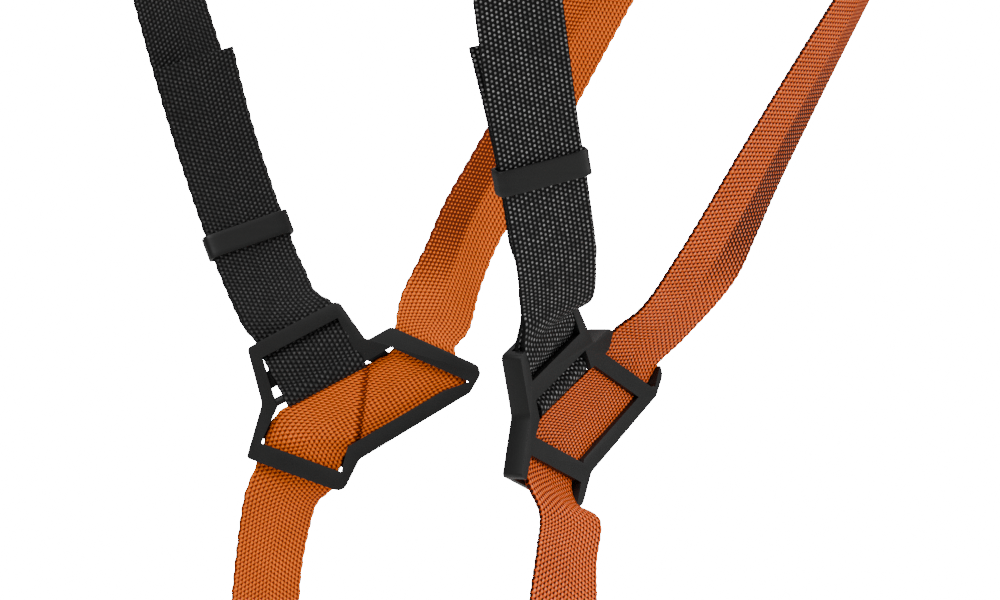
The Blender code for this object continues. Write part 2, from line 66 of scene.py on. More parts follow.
def add_object(name, data):
    """Put an object in the scene, at the origin."""
    made = bpy.data.objects.new(name, data)
    bpy.context.scene.collection.objects.link(made)
    return made


camera = add_object("camera", bpy.data.cameras.new("camera"))
camera.location = (-0.4602, -0.8878, 0.0181)
camera.rotation_euler = (math.radians(90), 0, math.radians(-27.7))
camera.data.lens = 201.5
camera.data.sensor_width = 36.0
camera.data.clip_start = 0.01
bpy.context.scene.camera = camera


# ---------- floor and studio light ----------
# A pale floor below the hanging straps, white all round, and three large soft lamps: one above and in
# front on the left, one low on the right, and one overhead.

def colour(code):
    """An sRGB hex code as linear red, green, blue and alpha."""
    parts = [int(code[i:i + 2], 16) / 255 for i in (1, 3, 5)]
    return [c / 12.92 if c <= 0.04045 else ((c + 0.055) / 1.055) ** 2.4 for c in parts] + [1.0]


def add_node(tree, kind, inputs=None, **settings):
    """Add a node, give it its settings, and link or set each of its inputs."""
    node = tree.nodes.new(kind)
    for key, value in settings.items():
        setattr(node, key, value)
    for key, value in (inputs or {}).items():
        if isinstance(value, bpy.types.Node):
            value = value.outputs[0]
        if isinstance(value, bpy.types.NodeSocket):
            tree.links.new(value, node.inputs[key])
        else:
            node.inputs[key].default_value = value
    return node


def new_material(name, look):
    """A material with one Principled shader whose constants come from the table."""
    material = bpy.data.materials.new(name)
    material.use_nodes = True
    shader = material.node_tree.nodes["Principled BSDF"]
    for key, value in look.items():
        shader.inputs[key].default_value = value
    return material, material.node_tree, shader


def mesh_object(name, bm, material):
    """Turn a finished bmesh into an object with one material."""
    mesh = bpy.data.meshes.new(name)
    bm.to_mesh(mesh)
    bm.free()
    mesh.materials.append(material)
    return add_object(name, mesh)


FLOOR_HALF = 0.45
FLOOR_BELOW = 0.012      # under the lowest point of the buckle

world = bpy.data.worlds.new("studio")
bpy.context.scene.world = world
world.use_nodes = True
sky = world.node_tree.nodes["Background"]
sky.inputs["Color"].default_value = colour("#ffffff")
seen = add_node(world.node_tree, "ShaderNodeLightPath")
# a weak fill light from all round, and pure white behind the straps
white = add_node(world.node_tree, "ShaderNodeMapRange", {
    "Value": seen.outputs["Is Camera Ray"], "To Min": 0.35, "To Max": 30.0})
world.node_tree.links.new(white.outputs[0], sky.inputs["Strength"])

for name, place, size, power in (
        ("key", (-1.3, -1.0, 1.1), 0.9, 27.0),
        ("side", (1.1, -1.2, 0.2), 0.8, 13.0),
        ("overhead", (0.2, 0.1, 1.6), 1.2, 14.0)):
    lamp = add_object(name, bpy.data.lights.new(name, "AREA"))
    lamp.location = place
    lamp.rotation_euler = (-Vector(place)).to_track_quat("-Z", "Y").to_euler()
    lamp.data.size = size
    lamp.data.energy = power

bm = bmesh.new()
bmesh.ops.create_grid(bm, x_segments=1, y_segments=1, size=FLOOR_HALF)
bmesh.ops.translate(bm, vec=(0.02, 0, cad_box[0][2] - FLOOR_BELOW), verts=bm.verts)
paint, tree, shader = new_material("white_card", {"Base Color": colour("#f4f4f2"), "Roughness": 0.8})
mesh_object("floor", bm, paint)


# ---------- webbing: where each strap runs ----------
# 15 mm polyester webbing, 1 mm thick. Each strap follows its own route of points, turns round a bar
# at each sewn end, and goes through the slots of the divider on its side.

WEB_W = 15.0 * MM
WEB_T = 1.0 * MM
HALF_W = WEB_W / 2
GAP = 0.3 * MM                       # air between two layers
LAYER = WEB_T + GAP
BAR_R = 1.2 * MM                     # the anchors' and the buckle's bars
LOOP_R = BAR_R + GAP + WEB_T / 2     # middle of the cloth as it goes round one
ANCHOR_BAR_DEPTH = 1.1 * MM          # the bars' middle, inwards from the strap's
SEWN_BACK = 15.0 * MM                # length folded back and sewn
CHIN_TAIL = 34.0 * MM                # length folded back under the chin keeper
# the rung: its radius, its distance inwards from the front arm's edge, and its height
RUNG_R, RUNG_U, RUNG_N = 0.8 * MM, 11.4 * MM, -0.6 * MM
KEEPER_Z = {-1: 39.5 * MM, 1: 30.0 * MM}
CHIN_KEEPER_Z = -58.0 * MM
KEEP_H = 4.5 * MM
TAIL_TOP = {-1: 61.0 * MM, 1: 62.5 * MM}
TAIL_PEEL = {-1: 3.4 * MM, 1: 4.8 * MM}      # how far the free end stands off

DIVIDER_TURN = 27.0                  # degrees that each divider faces forwards
DIVIDER_OUT = 42.5 * MM              # its middle, from the head's middle plane
DIVIDER_ROLL = {-1: 1.5, 1: 0.0}
# each arm's outer edge: its middle (towards the back, up) in mm, and its slope in degrees
ARMS = {"front": ((-13.45, 13.65), 27.8), "rear": ((13.45, 9.35), -23.9), "chin": ((-13.05, -14.35), -19.9)}
BAR_W = {"front": 2.9 * MM, "rear": 3.5 * MM, "chin": 3.5 * MM}

# beyond the divider: (x, distance from the middle plane, z, turn of the outer face), in mm and degrees
ROUTES = {
    (-1, "front"): [(-10.8, 52.2, 16, 20), (-13.4, 57.4, 24, 4), (-16.8, 60.8, 34, -4),
                    (-21.0, 63.6, 48, -11), (-25.1, 66.5, 64, -16), (-29.2, 69.5, 82, -18),
                    (-32.6, 72.0, 98.0, -18)],
    (1, "front"): [(-12.9, 52.4, 16, 25), (-14.6, 57.4, 24, 22), (-17.3, 60.4, 34, 18),
                   (-21.3, 63.5, 48, 9), (-25.6, 66.5, 64, 0), (-30.0, 69.5, 82, -6),
                   (-33.6, 72.0, 98.0, -6)],
    (-1, "rear"): [(16.8, 39.9, 14, 13), (22.8, 45.2, 24, 9), (26.6, 47.3, 32, 18), (30.7, 48.4, 40, 25),
                   (40.4, 48.9, 56, 33), (50.6, 49.1, 72, 40), (57.0, 49.1, 82, 42),
                   (67.2, 49.1, 98.0, 42)],
    (1, "rear"): [(13.6, 41.2, 15, -8), (19.7, 45.4, 24, -16), (24.4, 47.3, 32, -13), (30.0, 48.4, 40, -10),
                  (40.5, 48.9, 56, -9), (50.3, 49.1, 72, -8), (56.5, 49.1, 82, -8), (66.6, 49.1, 98.0, -8)],
    (-1, "chin"): [(-8.9, 52.0, -18.5, 22), (-10.2, 54.8, -25, 22), (-11.4, 56.0, -33, 13),
                   (-12.4, 56.4, -44, 7), (-12.8, 56.5, -58, 0), (-12.8, 56.5, -84.0, 0)],
    (1, "chin"): [(-12.6, 52.0, -18.5, 4), (-12.9, 54.8, -25, -5), (-13.6, 56.0, -33, -9),
                  (-14.2, 56.4, -44, -5), (-14.4, 56.5, -58, 0), (-14.4, 56.5, -84.0, 0)],
}


def divider_frame(side):
    """Matrix of a divider: x along its face, y up, z outwards."""
    turn = math.radians(DIVIDER_TURN)
    out = Vector((math.sin(turn), side * math.cos(turn), 0))
    up = Vector((0, 0, 1))
    axes = Matrix((up.cross(out), up, out)).transposed().to_4x4()
    roll = Matrix.Rotation(math.radians(DIVIDER_ROLL[side]), 4, "Z")
    return Matrix.Translation((0, side * DIVIDER_OUT, 0)) @ axes @ roll


def local(side, point, height=0.0):
    """A divider point (towards the back, up), in mm, in the divider's own frame."""
    return Vector((-side * point[0] * MM, point[1] * MM, height))


def arm_frame(side, arm):
    """Matrix of one arm in the world: x along its bar, y inwards from its outer edge, z outwards."""
    middle, slope = ARMS[arm]
    angle = math.radians(slope) * -side
    along = Vector((math.cos(angle), math.sin(angle), 0))
    inwards = Vector((0, 0, 1)).cross(along)
    centre = local(side, middle)
    if inwards.dot(centre) > 0:
        along, inwards = -along, -inwards
    axes = Matrix((along, inwards, Vector((0, 0, 1)))).transposed().to_4x4()
    return divider_frame(side) @ Matrix.Translation(centre) @ axes


def arm_width(side, arm):
    """The direction along an arm's bar, towards the back of the head."""
    along = (arm_frame(side, arm).to_3x3() @ Vector((1, 0, 0))).normalized()
    return along if along.x > 0 else -along


def route_frames(side, arm):
    """(centre, width, outward normal, direction) at each point of a strap's route."""
    points = [(Vector((x, side * y, z)) * MM, turn) for x, y, z, turn in ROUTES[(side, arm)]]
    start = arm_frame(side, arm).translation
    frames = []
    for i, (centre, turn) in enumerate(points):
        before = points[i - 1][0] if i else start
        after = points[i + 1][0] if i + 1 < len(points) else centre
        along = (after - before).normalized()
        flat = Vector((math.cos(math.radians(turn)), -side * math.sin(math.radians(turn)), 0))
        width = (flat - flat.dot(along) * along).normalized()
        out = along.cross(width).normalized()
        frames.append((centre, width, out if out.y * side > 0 else -out, along))
    return frames


def at_height(frames, z):
    """The route's frame at a height, between its points."""
    order = sorted(frames, key=lambda point: point[0].z)
    for low, high in zip(order, order[1:]):
        if z <= high[0].z:
            break
    t = max(0.0, (z - low[0].z) / (high[0].z - low[0].z))
    return (low[0].lerp(high[0], t), low[1].lerp(high[1], t).normalized(),
            low[2].lerp(high[2], t).normalized(), (high[0] - low[0]).normalized())


def bar_loop(route_end, bar_depth, end):
    """Stations round a sewn end's bar and back along the inner face of the strap."""
    centre, width, out, along = route_end
    spots = [(-7.0 * MM, 0.0), (-3.0 * MM, (LOOP_R - bar_depth) * 0.7)]
    for step in range(9):
        angle = math.pi / 2 - math.pi * step / 8
        spots.append((LOOP_R * math.cos(angle), LOOP_R * math.sin(angle) - bar_depth))
    spots += [(-3.0 * MM, -bar_depth - LOOP_R * 0.8), (-7.0 * MM, -LAYER), (-end, -LAYER)]
    return [(centre + along * forward + out * height, width * HALF_W) for forward, height in spots]


def smooth_path(stations, spacing):
    """Stations (centre, half width) joined by a centripetal Catmull-Rom curve, which both follow."""
    def between(one, other, start, end, at):
        share = (at - start) / (end - start)
        return [(1 - share) * a + share * b for a, b in zip(one, other)]

    rows = [(2 * stations[0][0] - stations[1][0], stations[0][1])] + stations
    rows.append((2 * stations[-1][0] - stations[-2][0], stations[-1][1]))
    path = []
    for i in range(1, len(rows) - 2):
        p0, p1, p2, p3 = rows[i - 1:i + 3]
        t1 = math.sqrt((p1[0] - p0[0]).length)
        t2 = t1 + math.sqrt((p2[0] - p1[0]).length)
        t3 = t2 + math.sqrt((p3[0] - p2[0]).length)
        steps = max(1, round((p2[0] - p1[0]).length / spacing))
        for k in range(steps):
            t = t1 + (t2 - t1) * k / steps
            first, second = between(p0, p1, 0, t1, t), between(p1, p2, t1, t2, t)
            third = between(p2, p3, t2, t3, t)
            early, late = between(first, second, 0, t2, t), between(second, third, t1, t3, t)
            path.append(between(early, late, t1, t2, t))
    path.append(stations[-1])
    return path


# ---------- webbing: the cloth and its two finishes ----------
# Herringbone polyester webbing: warp threads lie side by side across the strap and their floats step
# sideways from pick to pick, one way in each half, so the two halves meet in a line down the middle.
# The weft's turns stand out along both edges as small loops. Polyester yarn gives it a soft sheen. The
# colour
# has light painted in: painted shade in the pits between floats, a painted highlight with bright specks on
# top of each float, and painted shade where the cloth is folded or stepped.

ENDS = 19                # warp threads that show across the strap
PICK = 0.84              # length of one float and its pit along the strap, mm
STEP = 0.42 * MM         # spacing of the cloth's rows along the strap
EVEN = 5                 # rows each way over which the width is evened out


def webbing_material(name, pit_shade, body, crest_highlight, highlight_amount, highlight_colour, blotch):
    """Webbing in three tones by height of the weave: painted shade, body colour and painted highlight.

    The two values after the top tone give the strength and colour of a painted highlight speck on each
    float; blotch is how uneven the dye is.
    """
    material, tree, shader = new_material(name, {"Roughness": 0.6, "Specular IOR Level": 0.12})
    weave = add_node(tree, "ShaderNodeUVMap", uv_map="weave")
    split = add_node(tree, "ShaderNodeSeparateXYZ", {0: weave})
    # the painted shade stored per vertex by ribbon()
    crease_shading = add_node(tree, "ShaderNodeSeparateXYZ", {0: add_node(tree, "ShaderNodeUVMap", uv_map="crease_shade_uv")})
    made = {"u": split.outputs[0], "v": split.outputs[1], "crease_shading": crease_shading.outputs[0]}
    width = WEB_W / MM
    # each row is a named step: (name, operation, first value, second value), in terms of those before it
    for key, operation, a, b in (
            ("col", "MULTIPLY", "u", ENDS / width), ("end", "FLOOR", "col", 0.0),
            ("x", "SUBTRACT", "col", "end"), ("x0", "SUBTRACT", "x", 0.5), ("xx", "MULTIPLY", "x0", "x0"),
            ("x4", "MULTIPLY", "xx", -4.0), ("rib", "ADD", "x4", 1.0),
            ("second", "GREATER_THAN", "u", width / 2), ("second2", "MULTIPLY", "second", -2.0),
            ("hand", "ADD", "second2", 1.0),
            ("row", "DIVIDE", "v", PICK), ("step", "MULTIPLY", "end", 0.5),
            ("rowed", "ADD", "row", "step"),
            ("pick", "FLOOR", "rowed", 0.0), ("y", "SUBTRACT", "rowed", "pick"),
            ("y0", "SUBTRACT", "y", 0.5), ("yy", "MULTIPLY", "y0", "y0"), ("y4", "MULTIPLY", "yy", -4.0),
            ("float", "ADD", "y4", 1.0),
            ("bump", "MULTIPLY", "rib", "float"),
            ("slant", "MULTIPLY", "col", 0.5), ("slanted", "MULTIPLY", "slant", "hand"),
            ("twill", "ADD", "row", "slanted"), ("turn", "MULTIPLY", "twill", 2 * math.pi),
            ("wave", "COSINE", "turn", 0.0), ("part1", "MULTIPLY", "bump", 0.44),
            ("part2", "MULTIPLY", "wave", 0.24), ("part3", "MULTIPLY", "rib", 0.27),
            ("sum1", "ADD", "part1", "part2"), ("sum2", "ADD", "sum1", "part3"),
            # painted shade: it lowers the height, more between warp ends, so the ramp paints the cloth
            # darker
            ("groove", "MULTIPLY", "rib", 0.5), ("shade_depth", "SUBTRACT", "groove", 0.75),
            ("shade_drop", "MULTIPLY", "shade_depth", "crease_shading"), ("sum3", "ADD", "sum2", "shade_drop"),
            ("height", "ADD", "sum3", 0.1),
            ("mid", "SUBTRACT", "u", width / 2), ("midabs", "ABSOLUTE", "mid", 0.0),
            ("near", "LESS_THAN", "midabs", 0.42), ("long", "DIVIDE", "v", 3.4),
            ("part", "FRACT", "long", 0.0),
            ("dash", "LESS_THAN", "part", 0.3), ("line", "MULTIPLY", "near", "dash")):
        made[key] = add_node(tree, "ShaderNodeMath", {0: made.get(a, a), 1: made.get(b, b)},
                             operation=operation)
    # painted highlight: specks of the highlight colour on top of the floats, at random strength, and at
    # full strength in short dashes along the middle line
    cell = add_node(tree, "ShaderNodeCombineXYZ", {0: made["end"], 1: made["pick"], 2: made["second"]})
    chance = add_node(tree, "ShaderNodeTexWhiteNoise", {"Vector": cell}, noise_dimensions="3D")
    spot = add_node(tree, "ShaderNodeMapRange", {"Value": made["bump"], "From Min": 0.62, "From Max": 0.95},
                    interpolation_type="SMOOTHSTEP")
    lively = add_node(tree, "ShaderNodeMapRange", {"Value": chance, "To Min": 0.25, "To Max": 1.0})
    both = add_node(tree, "ShaderNodeMath", {0: made["line"], 1: lively}, operation="MAXIMUM")
    painted_highlights = add_node(tree, "ShaderNodeMath", {0: spot, 1: both}, operation="MULTIPLY")
    strength = add_node(tree, "ShaderNodeMath", {0: painted_highlights, 1: highlight_amount}, operation="MULTIPLY")
    # the ramp paints shade into the pits between floats and a highlight onto their tops
    ramp = add_node(tree, "ShaderNodeValToRGB", {0: made["height"]})
    ramp.color_ramp.elements[0].position = 0.26
    ramp.color_ramp.elements[0].color = colour(pit_shade)
    ramp.color_ramp.elements[1].position = 0.85
    ramp.color_ramp.elements[1].color = colour(crest_highlight)
    ramp.color_ramp.elements.new(0.5).color = colour(body)
    place = add_node(tree, "ShaderNodeTexCoord")
    cloud = add_node(tree, "ShaderNodeTexNoise", {
        "Vector": place.outputs["Object"], "Scale": 110.0, "Detail": 3.0})
    shade = add_node(tree, "ShaderNodeMapRange", {
        "Value": cloud, "From Min": 0.3, "From Max": 0.7, "To Min": 1.0 - blotch, "To Max": 1.0 + blotch})
    toned = add_node(tree, "ShaderNodeMix", {0: 1.0, 6: ramp.outputs[0], 7: shade}, data_type="RGBA",
                     blend_type="MULTIPLY")
    lit = add_node(tree, "ShaderNodeMix", {0: strength, 6: toned.outputs[2], 7: colour(highlight_colour)},
                   data_type="RGBA", blend_type="MIX")
    tree.links.new(lit.outputs[2], shader.inputs["Base Color"])
    relief = add_node(tree, "ShaderNodeBump", {
        "Height": made["height"], "Strength": 0.9, "Distance": 0.2 * MM})
    tree.links.new(relief.outputs[0], shader.inputs["Normal"])
    return material


# the left and right straps get lit and shaded copies of one webbing: their tones and painted highlight
# strength differ by side for how the light falls on each
BLACK = {
    -1: webbing_material("black_webbing_left_painted_light", "#020202", "#0f0f0f", "#242424", 0.75, "#a0a0a0", 0.1),
    1: webbing_material("black_webbing_right_painted_light", "#050505", "#191919", "#2c2c2c", 0.4, "#6a6a6a", 0.1)}
ORANGE = {
    -1: webbing_material("orange_webbing_left_painted_light", "#280300", "#f45400", "#ff7410", 0.6, "#ffa078", 0.1),
    1: webbing_material("orange_webbing_right_painted_light", "#681e00", "#e65a00", "#f87400", 0.18, "#ff9a28", 0.1)}

# the cloth's columns from edge to edge, and how thick it is at the two nearest each edge
ACROSS = [-1.0, -0.97] + [k / 15 for k in range(-14, 15)] + [0.97, 1.0]
LAST = len(ACROSS) - 1
THIN = {0: 0.5, 1: 0.85, LAST - 1: 0.85, LAST: 0.5}


def ribbon(name, stations, material, loops, crease=None, fold=None):
    """A strap of webbing along its stations.

    loops is (pitch, size) of the weft's turns along the edges. crease gives how far the middle line stands
    out towards the wearer's outside at a point of the path. fold(point, across) gives how far the cloth is
    pushed outwards at a point, and how much painted shade it gets there, from 0 to 1.
    """
    path = smooth_path(stations, STEP)
    end = len(path) - 1
    widths = [sum((path[min(max(i + k, 0), end)][1] for k in range(-EVEN, EVEN + 1)), Vector())
              / (2 * EVEN + 1) for i in range(len(path))]
    run = [0.0]
    for before, after in zip(path, path[1:]):
        run.append(run[-1] + (after[0] - before[0]).length / MM)
    bm = bmesh.new()
    bmesh.ops.create_grid(bm, x_segments=end, y_segments=LAST, size=0.5)
    weave = bm.loops.layers.uv.new("weave")
    # a uv map that carries painted shade from fold() to the material
    crease_shade_uv = bm.loops.layers.uv.new("crease_shade_uv")
    order, crease_shade = {}, {}
    for vert in bm.verts:
        order[vert] = (round((vert.co.x + 0.5) * end), round((vert.co.y + 0.5) * LAST))
    for vert, (i, j) in order.items():
        centre, half = path[i][0], widths[i]
        along = (path[min(i + 1, end)][0] - path[max(i - 1, 0)][0]).normalized()
        out = along.cross(half).normalized()
        if out.y * centre.y < 0:
            out = -out
        across = ACROSS[j]
        if abs(across) > 0.94:
            swell = 0.5 + 0.5 * math.cos(2 * math.pi * run[i] / loops[0])
            across *= 1.0 + loops[1] * MM / half.length * (swell - 0.5)
        rise = crease(centre) * (1.0 - abs(ACROSS[j])) if crease else 0.0
        # fold() gives a push of the cloth and an amount of painted shade
        push, crease_shade[vert] = fold(centre + half * across, ACROSS[j]) if fold else (0.0, 0.0)
        vert.co = centre + half * across + out * (rise + push)
    for face in bm.faces:
        face.smooth = True
        for loop in face.loops:
            i, j = order[loop.vert]
            loop[weave].uv = ((ACROSS[j] + 1) / 2 * WEB_W / MM, run[i])
            loop[crease_shade_uv].uv = (crease_shade[loop.vert], 0.0)
    strap = mesh_object(name, bm, material)
    group = strap.vertex_groups.new(name="thickness")
    for index, (i, j) in enumerate(order.values()):
        group.add([index], THIN.get(j, 1.0), "REPLACE")
    solid = strap.modifiers.new("thickness", "SOLIDIFY")
    solid.thickness = WEB_T
    solid.offset = 0.0
    solid.vertex_group = "thickness"
    return strap, run[-1] * MM


# ---------- front straps: black ----------
# One strip on each side: sewn back on itself at the shell anchor, down to the divider, in through its
# top slot, round the rung and up again inside, under the rubber keeper, to a heat-cut free end.

ROLL_R = RUNG_R + GAP + WEB_T / 2            # middle of the cloth as it goes round the rung
ROLL_SHIFT = {-1: 0.0, 1: 0.35 * MM}         # the roll's place along the rung
ROLL_SPREAD = {-1: 1.045, 1: 1.09}           # the cloth flattens and spreads there
TAIL_STATIONS = (16, 20, 24, 29, 34, 39, 44, 50)
TAIL_SWAY = 1.2 * MM
FRONT_LOOPS = {-1: (0.9, 0.12), 1: (2.7, 0.17)}


def through_front_slot():
    """(inwards from the arm's edge, height) of the cloth in the top slot, round the rung and out again."""
    bar = BAR_W["front"]
    spots = [(0.0, 1.8 * MM), (bar, 1.45 * MM), (5.5 * MM, 0.05 * MM), (8.8 * MM, 0.05 * MM)]
    for step in range(11):
        angle = math.radians(140 - 28 * step)
        spots.append((RUNG_U + ROLL_R * math.cos(angle), RUNG_N + ROLL_R * math.sin(angle)))
    return spots + [(8.8 * MM, -1.45 * MM), (5.5 * MM, -1.45 * MM), (bar, -0.05 * MM), (0.0, 0.3 * MM)]


for side, label in ((-1, "left"), (1, "right")):
    frames = route_frames(side, "front")
    stations = list(reversed(bar_loop(frames[-1], ANCHOR_BAR_DEPTH, SEWN_BACK)))
    for centre, width, out, along in reversed(frames[:-1]):
        stations.append((centre, width * HALF_W))
    bar, across = arm_frame(side, "front"), arm_width(side, "front")
    for inwards, height in through_front_slot():
        stations.append((bar @ Vector((0, inwards, height)) + across * ROLL_SHIFT[side],
                         across * HALF_W * ROLL_SPREAD[side]))
    # the tail lies on the strap as far as the keeper; above it, it keeps that direction and peels off
    held = at_height(frames, KEEPER_Z[side])[1]
    free_from, top = KEEPER_Z[side] + KEEP_H, TAIL_TOP[side]
    for z in TAIL_STATIONS + (top / MM - 4, top / MM):
        centre, width, out, along = at_height(frames, z * MM)
        part = 0.0
        if z * MM > free_from:
            part = ((z * MM - free_from) / (top - free_from)) ** 1.3
            width = (held - held.dot(along) * along).normalized()
        depth = LAYER + (0.2 * MM if z < 22 else 0.0) + TAIL_PEEL[side] * part
        back = 0.9 * MM if z < 25 and side < 0 else 0.0
        stations.append((centre - out * depth - width * (TAIL_SWAY * part - back), width * HALF_W))
    strap, length = ribbon(label + "_front_webbing", stations, BLACK[side], FRONT_LOOPS[side])
    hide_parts(label + "_front_strap")
    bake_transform(strap)


# ---------- rear straps: orange ----------
# One strip on each side: sewn back at the shell anchor, down and in through the divider's rear slot,
# behind both crossbars, out through its lower slot, and on as the chin strap to the buckle's bar.

REAR_LOOPS = {-1: (1.6, 0.2), 1: (2.6, 0.2)}
CREASE = {-1: 0.9 * MM, 1: 1.2 * MM}         # how far the middle line stands out above the divider
PLEAT = 0.7 * MM                             # how far one half lies over the other in the right window
# the right strap is drawn together towards the front in its slot: (shift back, share of its width)
REAR_DRAWN = {-1: (0.6 * MM, 1.0), 1: (-2.8 * MM, 0.78)}
# the left chin strap bulges over the corner of its bar
CHIN_BULGE = {-1: (0.8 * MM, 1.04), 1: (0.0, 1.0)}
# the cloth's two edges at three places across the window, in divider points
WINDOW_EDGES = (((1.0, 6.5), (14.8, 0.8)), ((-7.4, 2.2), (6.25, -4.6)), ((-16.6, -3.3), (-2.9, -9.55)))
WINDOW_LIFT = {-1: 0.5 * MM, 1: 0.0}


def share(value, start, end):
    """How far a value has gone from start to end, from 0 to 1."""
    return min(max((value - start) / (end - start), 0.0), 1.0)


for side, label in ((-1, "left"), (1, "right")):
    frames = route_frames(side, "rear")
    stations = list(reversed(bar_loop(frames[-1], ANCHOR_BAR_DEPTH, SEWN_BACK)))
    for centre, width, out, along in reversed(frames[:-1]):
        stations.append((centre, width * HALF_W))
    rear, rear_width = arm_frame(side, "rear"), arm_width(side, "rear")
    chin, chin_width = arm_frame(side, "chin"), arm_width(side, "chin")
    drawn, narrow = REAR_DRAWN[side]
    stations.append((rear @ Vector((0, -0.5 * MM, 1.2 * MM)) + rear_width * drawn,
                     rear_width * HALF_W * narrow))
    stations.append((rear @ Vector((0, BAR_W["rear"], 0.05 * MM)), rear_width * HALF_W))
    for edges in WINDOW_EDGES:
        front, back = [divider_frame(side) @ local(side, spot, WINDOW_LIFT[side]) for spot in edges]
        stations.append(((front + back) / 2, (back - front) / 2))
    stations.append((chin @ Vector((0, BAR_W["chin"], 0.05 * MM)), chin_width * HALF_W))
    bulge, spread = CHIN_BULGE[side]
    stations.append((chin @ Vector((0, 0, 1.5 * MM)) + chin_width * bulge, chin_width * HALF_W * spread))
    chin_frames = route_frames(side, "chin")
    for centre, width, out, along in chin_frames[:-1]:
        still = share(centre.z, -26 * MM, -17 * MM)
        stations.append((centre + width * bulge * 1.6 * still, width * HALF_W))
    stations += bar_loop(chin_frames[-1], LAYER / 2, CHIN_TAIL if side < 0 else SEWN_BACK)

    def crease(point):
        """The strap is folded a little along its middle line above the divider."""
        t = share(point.z, 22 * MM, 40 * MM) * share(point.z, 84 * MM, 66 * MM)
        return CREASE[side] * t * t * (3 - 2 * t)

    inside = divider_frame(side).inverted()

    def fold(point, across):
        """In the right window one half lies over the other, with a painted shadow line along the step, and
        the left window gets a faint painted shade.

        Above both dividers one half of the strap, from its middle line outwards, gets painted shade.
        """
        spot = inside @ point / MM
        back, up = -side * spot.x, spot.y
        near = share(abs(back), 17.0, 14.0) * share(abs(up), 9.5, 7.5)
        if abs(spot.z) < 1.2 and near > 0:
            if side < 0:
                return 0.0, 0.15 * near
            past = back - (-0.7 + 0.12 * up)
            # a painted shadow line along the step
            crease_shade = min(max(1.5 - abs(past - 0.1) / 0.5, 0.0), 1.3)
            return min(max(past / 0.35, -1.0), 1.0) * PLEAT * near, crease_shade * near
        # painted shade over one half of the strap above the divider
        t = share(point.z, 20 * MM, 32 * MM) * share(point.z, 78 * MM, 48 * MM)
        return 0.0, t * share(-side * across, 0.0, 0.12) * 0.9

    strap, length = ribbon(label + "_rear_webbing", stations, ORANGE[side], REAR_LOOPS[side], crease, fold)
    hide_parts(label + "_rear_strap")
    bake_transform(strap)


# ---------- dividers, anchors and buckle: nylon mouldings ----------
# Injection moulded nylon with a fine matte skin. Every edge is broken by the mould, and the black is
# slightly uneven.

def moulding_material(name, tone, roughness):
    """Black nylon with a fine spark-eroded skin, between two tones."""
    material, tree, shader = new_material(name, {"Specular IOR Level": 0.3, "IOR": 1.53})
    place = add_node(tree, "ShaderNodeTexCoord")
    skin = add_node(tree, "ShaderNodeTexNoise", {
        "Vector": place.outputs["Object"], "Scale": 5200.0, "Detail": 2.0})
    cloud = add_node(tree, "ShaderNodeTexNoise", {
        "Vector": place.outputs["Object"], "Scale": 260.0, "Detail": 3.0})
    ramp = add_node(tree, "ShaderNodeValToRGB", {0: cloud})
    ramp.color_ramp.elements[0].position, ramp.color_ramp.elements[1].position = 0.3, 0.7
    ramp.color_ramp.elements[0].color, ramp.color_ramp.elements[1].color = colour(tone[0]), colour(tone[1])
    tree.links.new(ramp.outputs[0], shader.inputs["Base Color"])
    gloss = add_node(tree, "ShaderNodeMapRange", {
        "Value": skin, "To Min": roughness - 0.08, "To Max": roughness + 0.08})
    tree.links.new(gloss.outputs[0], shader.inputs["Roughness"])
    relief = add_node(tree, "ShaderNodeBump", {"Height": skin, "Strength": 0.35, "Distance": 0.02 * MM})
    tree.links.new(relief.outputs[0], shader.inputs["Normal"])
    return material


def broken_edges(name, node, radius, material):
    """A copy of a moulded solid, in its place, with its edges rounded."""
    bm = bmesh.new()
    bm.from_mesh(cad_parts[node].data)
    bmesh.ops.remove_doubles(bm, verts=bm.verts, dist=0.001 * MM)
    bmesh.ops.dissolve_limit(bm, angle_limit=math.radians(1.0), verts=bm.verts, edges=bm.edges)
    for face in bm.faces:
        face.smooth = True
    piece = mesh_object(name, bm, material)
    edge = piece.modifiers.new("edges", "BEVEL")
    edge.width, edge.segments, edge.limit_method, edge.angle_limit = radius, 3, "ANGLE", math.radians(35)
    edge.harden_normals = True
    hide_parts(node)
    return piece


divider_nylon = moulding_material("matte_moulded_nylon", ("#080808", "#0e0e0e"), 0.5)
for label in ("left", "right"):
    divider = broken_edges(label + "_divider_moulding", label + "_divider", 0.22 * MM, divider_nylon)
    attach(divider, label + "_divider")

for label in ("left_front", "left_rear", "right_front", "right_rear"):
    anchor = broken_edges(label + "_anchor_moulding", label + "_anchor", 0.2 * MM, divider_nylon)
    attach(anchor, "straps")

for node in ("buckle_plug", "plug_latch_front", "plug_latch_rear", "buckle_socket"):
    half_buckle = broken_edges(node + "_moulding", node, 0.2 * MM, divider_nylon)
    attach(half_buckle, node)


# ---------- keepers: rubber bands ----------
# Moulded rubber rings that hold two layers of webbing together. Rubber has a satin skin with faint
# streaks round the band, and its corners are round.

